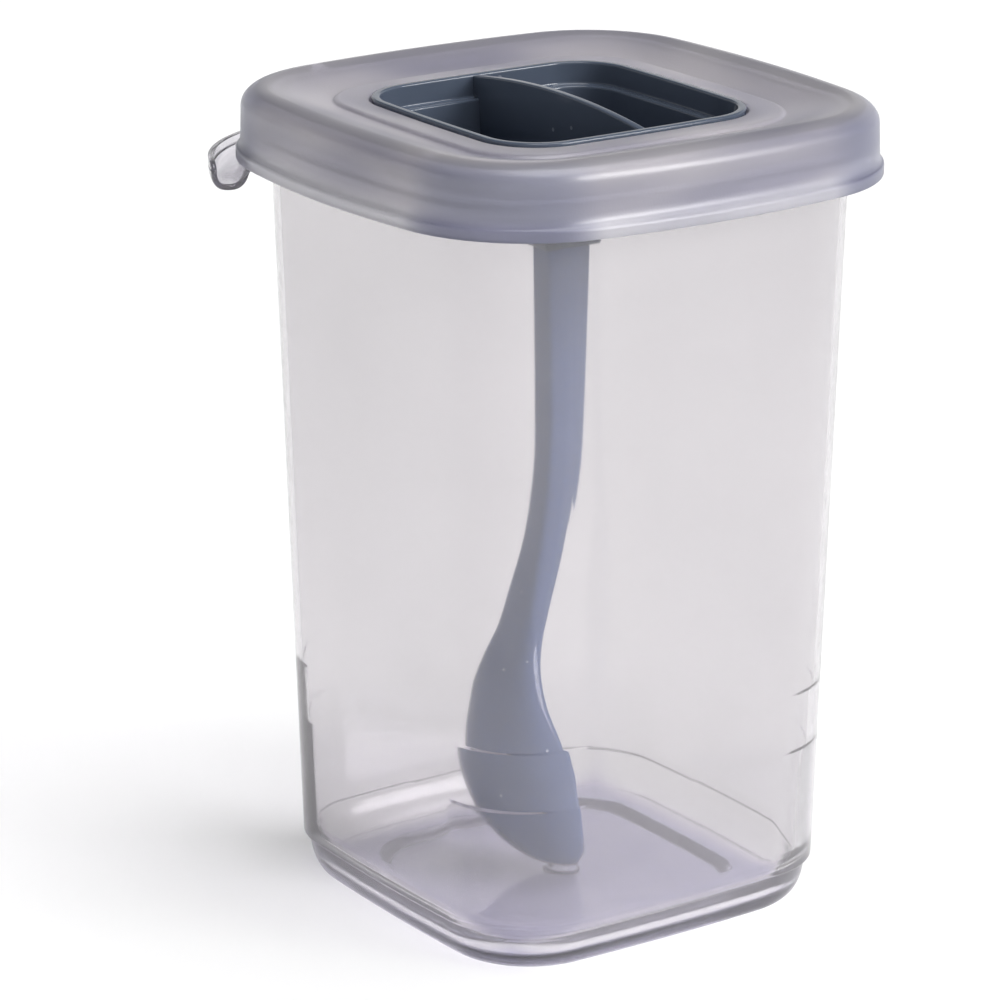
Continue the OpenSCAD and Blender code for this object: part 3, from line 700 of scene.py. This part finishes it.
def tabSections():
    # runs down from the lip, round the bend and up again, while its corners round off at the tip
    v = pullTab
    bendSteps, tipSteps, sideSteps, edgeSteps = 18, 8, 20, 5
    thick, halfWidth = v["thickness"], v["width"] / 2
    root, far = -thick / 2 - 1.5 * edge, v["reach"] - thick / 2
    bend = v["bendShare"] * v["drop"]
    bendZ = lipZ - v["drop"] + thick / 2 + bend
    tipZ = lipZ + v["rise"]
    curve = [((far + root) / 2 - x, bendZ - y)
             for x, y in halfOutline((far - root) / 2, bend, v["bendPower"], 2 * bendSteps)]
    down = [(root, lipZ + lid["lipHeight"] / 2), (root, lipZ - edge)] + curve[:bendSteps + 1]
    path = [(x, z, halfWidth + v["spread"] * (1 - max(lipZ - z, 0) / v["drop"]) ** 2) for x, z in down]
    path += [(x, z, halfWidth) for x, z in curve[bendSteps + 1:]]
    r = v["cornerRadius"]
    for i in range(1, tipSteps + 1):
        a = math.pi / 2 * i / tipSteps
        path.append((far, tipZ - r + r * math.sin(a), halfWidth - r + r * math.cos(a)))
    # centre of the lip's corner arc, as in the loft
    shift = lipHalf - lid["bulge"]
    centre = (shift + math.sqrt(2 * (lid["bulge"] - lipR) ** 2 - shift * shift)) / 2
    sections = []
    for i, (x, z, width) in enumerate(path):
        a, b = path[max(i - 1, 0)], path[min(i + 1, len(path) - 1)]
        length = stepLength(a, b)
        out, up = (b[1] - a[1]) / length, (a[0] - b[0]) / length
        turn = width / lipR
        oval = []
        # a long flat oval as (offset, swing) pairs: two faces with half-round edges
        for offset in (-thick / 2, thick / 2):
            side = math.copysign(1, offset)
            oval += [(offset, -side * turn * k / sideSteps) for k in range(-sideSteps, sideSteps + 1)]
            for k in range(1, edgeSteps):
                lean = math.pi * k / edgeSteps
                oval.append((offset * math.cos(lean), -side * turn - offset * math.sin(lean) / lipR))
        section = []
        for offset, swing in oval:
            reach, angle = lipR + x + out * offset, math.radians(135) + swing
            spot = (reach * math.cos(angle) - centre, reach * math.sin(angle) + centre, z + up * offset)
            section.append(spot)
        sections.append(section)
    return sections


tabSheet = sectionPiece("tabSheet", tabSections(), tabFinish, "lid")
print("tab built")


plug = {"gap": 0.45, "proud": 0.6, "wall": 1.9, "cupDepth": 18.5, "draft": 0.8, "upperDraft": 0.2,
        "fillet": 0.5, "web": 2.0, "webRise": 2.1, "webRound": 0.45,
        "socketHeight": 12.0, "socketWall": 1.8, "socketGap": 0.15}
scoop = {"handleWidth": 7.8, "handleDepth": 10.4, "handleX": 0.5, "wall": 1.6, "bowlWidth": 36.0,
         "bowlDepth": 13.2, "bowlHeight": 56.0, "neckHeight": 38.0, "neckSwing": 17.3,
         "tipReach": 14.6, "tipGap": 3.4}

plugHalf = openingHalf - plug["gap"]
plugZ = bandZ + plug["proud"]
cupHalf = plugHalf - plug["wall"]
lowerHalf = ledgeHalf - plug["gap"]
stepZ = ledgeZ + plug["wall"]
cupFloorZ = plugZ - plug["cupDepth"]
cupBaseZ = cupFloorZ - plug["wall"]


def plugProfile():
    wall, draft = plug["wall"], plug["draft"]
    pairs = [(0.0, cupBaseZ), (lowerHalf - draft, cupBaseZ), (lowerHalf, ledgeZ), (plugHalf, ledgeZ),
             (plugHalf, plugZ), (cupHalf, plugZ), (cupHalf - plug["upperDraft"], stepZ),
             (lowerHalf - wall, stepZ), (lowerHalf - wall - draft, cupFloorZ), (0.0, cupFloorZ)]
    points = []
    for half, z in pairs:
        ring = openingRing(half, z)
        points.append(ring if half else (0.0, z, 0.0, ring[3]))
    return softenProfile(points, plug["fillet"])


def webSections():
    # an upright web across the cup, with a rounded and arched top
    upper = cupHalf + plug["wall"] / 2
    lower = lowerHalf - plug["draft"] - plug["wall"] / 2
    low, mid = cupFloorZ - plug["wall"] / 2, ledgeZ + plug["wall"] / 2
    archSteps, half, r = 24, plug["web"] / 2, plug["webRound"]
    turns = [math.pi / 2 * k / smallArcSteps for k in range(smallArcSteps + 1)]
    sections = []
    for i in range(2 * archSteps + 1):
        t = i / archSteps - 1
        y, top = upper * t, plugZ - edge + (plug["webRise"] + edge) * (1 - t * t)
        bottom = low if abs(y) < lower else mid
        middle = (bottom + top) / 2
        ring = [(-half, y, bottom), (half, y, bottom), (half, y, middle)]
        ring += [(half - r + r * math.cos(a), y, top - r + r * math.sin(a)) for a in turns]
        ring += [(r - half - r * math.sin(a), y, top - r + r * math.cos(a)) for a in turns]
        ring.append((-half, y, middle))
        sections.append(ring)
    return sections


def socketSections():
    # up the outside and down the inside of a square sleeve round the handle
    v = plug
    inner = [scoop[size] / 2 + v["socketGap"] for size in ("handleDepth", "handleWidth")]
    outer = [size + v["socketWall"] for size in inner]
    top, bottom = cupBaseZ + v["wall"] / 2, cupBaseZ - v["socketHeight"]
    cornerSteps, bevel = 4, 0.3

    def box(size, radius, z):
        points = []
        for k, (sx, sy) in enumerate(((1, 1), (-1, 1), (-1, -1), (1, -1))):
            for i in range(cornerSteps + 1):
                a = math.pi / 2 * (k + i / cornerSteps)
                points.append((scoop["handleX"] + sx * (size[0] - radius) + radius * math.cos(a),
                               sy * (size[1] - radius) + radius * math.sin(a), z))
        return points

    return [box(inner, bevel, top), box(outer, 2 * bevel, top), box(outer, 2 * bevel, bottom + bevel),
            box([size - bevel for size in outer], 0.4, bottom), box(inner, bevel, bottom),
            box(inner, bevel, top)]


plugShell = loftPiece("plugShell", plugProfile(), plugFinish, "plug")
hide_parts("grip_plug")
fingerWeb = sectionPiece("fingerWeb", webSections(), plugFinish, "plug")
handleSocket = sectionPiece("handleSocket", socketSections(), plugFinish, "plug", capped=False)
print("plug built")


def scoopStations():
    # (front, height, half width, depth, squareness, inner depth), from the handle's top to the bowl's tip
    v = scoop
    w, b, d, t = v["handleWidth"] / 2, v["bowlWidth"] / 2, v["handleDepth"], v["wall"]
    deep = v["bowlDepth"]
    tipZ = panelZ + v["tipGap"]
    bowlTop = tipZ + v["bowlHeight"]
    neckTop = bowlTop + v["neckHeight"]
    straight = cupBaseZ - neckTop
    front = v["handleX"] + d / 2
    neckFront = front - v["neckSwing"]

    def swing(u):
        return front - v["neckSwing"] * u

    def reach(u):
        return neckFront + v["tipReach"] * u

    def up(u):
        return tipZ + v["bowlHeight"] * u

    return [
        (front, cupBaseZ, w, d, 9, d - t),
        (front, cupBaseZ - 0.2 * straight, w, d * 0.98, 9, d * 0.98 - t),
        (swing(0.07), neckTop + 0.25 * straight, w, d * 0.81, 9, d * 0.81 - t),
        (swing(0.13), neckTop, w * 0.97, d * 0.76, 8, d * 0.76 - t),
        (swing(0.36), bowlTop + v["neckHeight"] * 0.56, w * 1.12, d * 0.64, 6, d * 0.64 - t),
        (swing(0.68), bowlTop + v["neckHeight"] * 0.2, w * 1.56, d * 0.5, 4.5, d * 0.5 - t),
        (swing(0.86), up(1), b * 0.42, deep * 0.34, 3.4, deep * 0.34 - t),
        (swing(0.98), up(0.885), b * 0.57, deep * 0.41, 2.8, deep * 0.41 - t),
        (neckFront, up(0.76), b * 0.755, deep * 0.6, 2.5, deep * 0.6 - t),
        (reach(0.12), up(0.62), b * 0.93, deep * 0.85, 2.4, deep * 0.85 - t),
        (reach(0.26), up(0.46), b, deep, 2.4, deep - t),
        (reach(0.43), up(0.3), b * 0.945, deep * 0.97, 2.4, deep * 0.97 - t),
        (reach(0.62), up(0.16), b * 0.79, deep * 0.8, 2.4, deep * 0.8 - t),
        (reach(0.81), up(0.07), b * 0.59, deep * 0.57, 2.3, deep * 0.57 - t),
        (reach(0.945), up(0.02), b * 0.36, deep * 0.32, 2.2, deep * 0.12),
        (reach(1), tipZ, b * 0.2, deep * 0.14, 2, deep * 0.04),
    ]


def between(stations, i, t):
    # a smooth curve through the stations
    a, b = stations[max(i - 1, 0)], stations[i]
    c, d = stations[i + 1], stations[min(i + 2, len(stations) - 1)]
    return tuple((2 * q + (r - p) * t + (2 * p - 5 * q + 4 * r - s) * t * t
                  + (3 * q - p - 3 * r + s) * t ** 3) / 2 for p, q, r, s in zip(a, b, c, d))


def scoopSections():
    stations = scoopStations()
    steps, outlineSteps, least = 8, 48, 0.05
    path = [between(stations, i, k / steps) for i in range(len(stations) - 1) for k in range(steps)]
    path.append(stations[-1])
    last = len(path) - 1
    sections = []
    for i, p in enumerate(path):
        a, b = path[max(i - 1, 0)], path[min(i + 1, last)]
        length = stepLength(a, b)
        back = (-1.0, 0.0) if i == 0 else ((b[1] - a[1]) / length, (a[0] - b[0]) / length)
        outer = halfOutline(p[2], p[3], p[4], outlineSteps)
        inner = halfOutline(max(p[2] - scoop["wall"], least), p[5], p[4], outlineSteps)
        ring = outer + inner[::-1]
        sections.append([(p[0] + back[0] * q[1], q[0], p[1] + back[1] * q[1]) for q in ring])
    return sections


scoopSpoon = sectionPiece("scoopSpoon", scoopSections(), scoopFinish, "plug")
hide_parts("scoop")
print("scoop built")


# lengths here are in metres, angles in degrees
studio = {
    "floorShade": (0.83, 0.83, 0.83), "floorGlow": 0.195, "floorHalf": 6.0, "floorZ": -0.0001,
    "roomLow": 0.76, "roomHigh": 0.03, "roomFade": (0.20, 0.50), "roomThrough": 0.6,
    "topFrom": (0.10, -0.22, 0.97), "topStrength": 2.15, "topAngle": 46.0,
    "keyFrom": (0.45, -0.80, 0.43), "keyStrength": 2.1, "keyAngle": 26.0,
}
view = {
    "azimuth": -34.98, "elevation": 17.859, "roll": 0.178, "distance": 1.04127, "target": (0, 0, 0.09292),
    "sensorWidth": 36.0, "lens": 164.43, "shiftX": -0.0568, "shiftY": -0.0026,
}


def seenDirectly(tree):
    # 1 for a ray from the camera, a reflection or a clear piece, else 0
    path = tree.nodes.new("ShaderNodeLightPath")
    seen = mathNode(tree, "MAXIMUM", path.outputs["Is Camera Ray"], path.outputs["Is Glossy Ray"])
    return mathNode(tree, "MAXIMUM", seen, path.outputs["Is Transmission Ray"])


def makeFloor():
    material, tree, output = newMaterial("paleFloor")
    place = tree.nodes.new("ShaderNodeTexCoord").outputs["Object"]
    mottle = newNode(tree, "ShaderNodeTexNoise", Vector=place, Scale=6.0)
    shade = studio["floorShade"]
    tone = twoTone(tree, mottle.outputs["Fac"], shade, tuple(v * 0.99 for v in shade))
    matte = newNode(tree, "ShaderNodeBsdfDiffuse", Color=tone)
    glow = newNode(tree, "ShaderNodeEmission",
                   Strength=mathNode(tree, "MULTIPLY", seenDirectly(tree), studio["floorGlow"]))
    both = tree.nodes.new("ShaderNodeAddShader")
    wire(tree, matte.outputs[0], both.inputs[0])
    wire(tree, glow.outputs[0], both.inputs[1])
    wire(tree, both.outputs[0], output.inputs["Surface"])
    mesh = bpy.data.meshes.new("floorSheet")
    corners = [(sx * studio["floorHalf"], sy * studio["floorHalf"], studio["floorZ"])
               for sx, sy in ((-1, -1), (1, -1), (1, 1), (-1, 1))]
    mesh.from_pydata(corners, [], [(0, 1, 2, 3)])
    mesh.materials.append(material)
    sheet = bpy.data.objects.new("floorSheet", mesh)
    scene.collection.objects.link(sheet)


def makeWorld():
    # white near the horizon, dim overhead; the camera sees plain white
    world = bpy.data.worlds.new("softRoom")
    world.use_nodes = True
    tree = world.node_tree
    tree.nodes.clear()
    direction = tree.nodes.new("ShaderNodeTexCoord").outputs["Generated"]
    height = newNode(tree, "ShaderNodeSeparateXYZ", Vector=direction).outputs["Z"]
    fade = remap(tree, height, studio["roomFade"], (studio["roomLow"], studio["roomHigh"]))
    path = tree.nodes.new("ShaderNodeLightPath")
    through = mathNode(tree, "MULTIPLY", path.outputs["Is Transmission Ray"], studio["roomThrough"])
    strength = mathNode(tree, "MAXIMUM", fade, through)
    room, white = [newNode(tree, "ShaderNodeBackground", Color=(1, 1, 1, 1), Strength=value).outputs[0]
                   for value in (strength, 1.0)]
    mixed = mixShaders(tree, path.outputs["Is Camera Ray"], room, white)
    wire(tree, mixed, tree.nodes.new("ShaderNodeOutputWorld").inputs["Surface"])
    scene.world = world


def addSun(name):
    place, strength, angle = [studio[name + value] for value in ("From", "Strength", "Angle")]
    data = bpy.data.lights.new(name + "Light", "SUN")
    data.energy, data.angle = strength, math.radians(angle)
    lamp = bpy.data.objects.new(name + "Light", data)
    lamp.location = place
    lamp.rotation_mode = "QUATERNION"
    lamp.rotation_quaternion = (-Vector(place)).to_track_quat("-Z", "Y")
    scene.collection.objects.link(lamp)


def addCamera():
    azimuth, elevation, roll = [math.radians(view[turn]) for turn in ("azimuth", "elevation", "roll")]
    back = Vector((math.sin(azimuth) * math.cos(elevation), -math.cos(azimuth) * math.cos(elevation),
                   math.sin(elevation)))
    level = Vector((math.cos(azimuth), math.sin(azimuth), 0))
    upright = back.cross(level)
    right = level * math.cos(roll) + upright * math.sin(roll)
    up = upright * math.cos(roll) - level * math.sin(roll)
    data = bpy.data.cameras.new("studioCamera")
    data.sensor_width, data.lens = view["sensorWidth"], view["lens"]
    data.shift_x, data.shift_y = view["shiftX"], view["shiftY"]
    data.clip_start, data.clip_end = 0.05, 50.0
    camera = bpy.data.objects.new("studioCamera", data)
    turn = Matrix((right, up, back)).transposed().to_4x4()
    camera.matrix_world = Matrix.Translation(Vector(view["target"]) + back * view["distance"]) @ turn
    scene.collection.objects.link(camera)
    scene.camera = camera


makeFloor()
makeWorld()
addSun("top")
addSun("key")
addCamera()
print("studio set")
